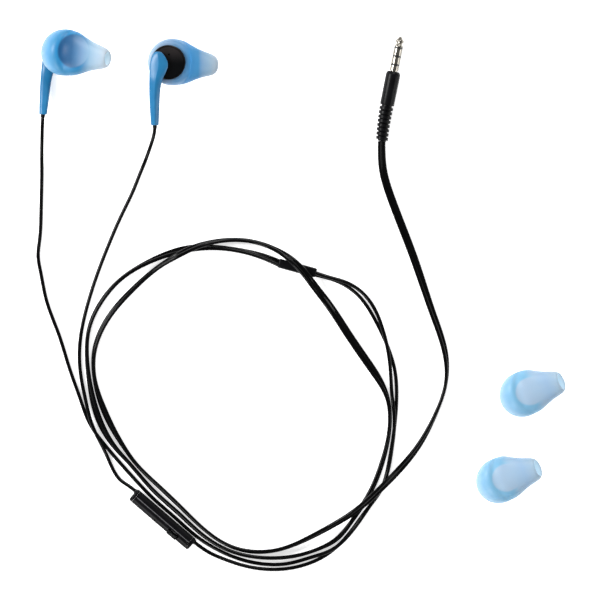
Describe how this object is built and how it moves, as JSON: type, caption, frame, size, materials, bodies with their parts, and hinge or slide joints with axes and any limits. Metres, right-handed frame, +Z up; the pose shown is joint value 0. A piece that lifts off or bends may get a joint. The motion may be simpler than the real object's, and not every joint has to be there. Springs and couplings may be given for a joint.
{
  "type": "wired earphones",
  "caption": "Wired in-ear earphones laid out flat: angled gel cushions, stems, round cords in a loop, in-line microphone pod, splitter, spare cushions and a four-pole plug.",
  "frame": {"origin": "middle of the footprint of the two earbuds and the two spare cushions, at the height of the table they lie on", "axes": "+X to the right across the layout, +Y away from the loops towards the earbuds' top edge, +Z up from the table"},
  "size_m": [0.2112, 0.2167, 0.0147],
  "materials": {
    "gel_blue": "soft translucent silicone, satin",
    "stem_blue": "smooth moulded plastic, satin",
    "black_gloss": "polished black",
    "black_satin": "satin black",
    "cord_black": "smooth glossy jacket",
    "contact_metal": "bright plated",
    "insulator_black": "satin black",
    "steel": "plain",
    "magnet_grey": "plated",
    "copper": "enamelled copper wire",
    "film": "thin clear film",
    "felt": "pressed felt",
    "board_green": "solder resist"
  },
  "bodies": {
    "cords_and_left_earbud": {"rear_cup_left": "black_gloss", "front_baffle_left": "black_satin", "grille_left": "steel", "damping_felt_left": "felt", "yoke_left": "steel", "magnet_left": "magnet_grey", "pole_plate_left": "steel", "voice_coil_left": "copper", "driver_frame_left": "black_satin", "diaphragm_left": "film", "stem_left": "stem_blue", "cord_bushing_left": "black_satin", "cushion_right": "gel_blue", "left_lead": "cord_black", "right_lead_upper": "cord_black", "right_lead_lower": "cord_black", "main_cord": "cord_black", "pod_front_shell": "black_satin", "pod_rear_shell": "black_satin", "circuit_board": "board_green", "tact_switch": "steel", "microphone_capsule": "contact_metal", "pod_grommet_upper": "black_satin", "pod_grommet_lower": "black_satin", "splitter_base": "black_satin", "splitter_cover": "black_satin", "plug_tip": "contact_metal", "plug_ring_first": "contact_metal", "plug_ring_second": "contact_metal", "plug_sleeve_contact": "contact_metal", "plug_insulator": "insulator_black", "plug_grip": "black_satin", "strain_relief": "black_satin"},
    "left_cushion": {"cushion_left": "gel_blue"},
    "right_earbud": {"rear_cup_right": "black_gloss", "front_baffle_right": "black_satin", "grille_right": "steel", "damping_felt_right": "felt", "yoke_right": "steel", "magnet_right": "magnet_grey", "pole_plate_right": "steel", "voice_coil_right": "copper", "driver_frame_right": "black_satin", "diaphragm_right": "film", "stem_right": "stem_blue", "cord_bushing_right": "black_satin"},
    "button": {"answer_button": "black_gloss"},
    "upper_spare": {"spare_cushion_upper": "gel_blue"},
    "lower_spare": {"spare_cushion_lower": "gel_blue"}
  },
  "joints": [
    {"name": "left_cushion_pull_off", "type": "slide", "parent": "cords_and_left_earbud", "child": "left_cushion", "axis": [0, 0, 1], "range_m": [0, 0.012]},
    {"name": "right_earbud_pull_out", "type": "slide", "parent": "cords_and_left_earbud", "child": "right_earbud", "axis": [0, 0, 1], "range_m": [0, 0.012]},
    {"name": "answer_button_press", "type": "slide", "parent": "cords_and_left_earbud", "child": "button", "axis": [0.6534, 0.757, 0], "range_m": [0, 0.0003], "stiffness_N_per_m": 400},
    {"name": "upper_spare_lift", "type": "slide", "parent": "cords_and_left_earbud", "child": "upper_spare", "axis": [0, 0, 1], "range_m": [0, 0.03]},
    {"name": "lower_spare_lift", "type": "slide", "parent": "cords_and_left_earbud", "child": "lower_spare", "axis": [0, 0, 1], "range_m": [0, 0.03]}
  ]
}
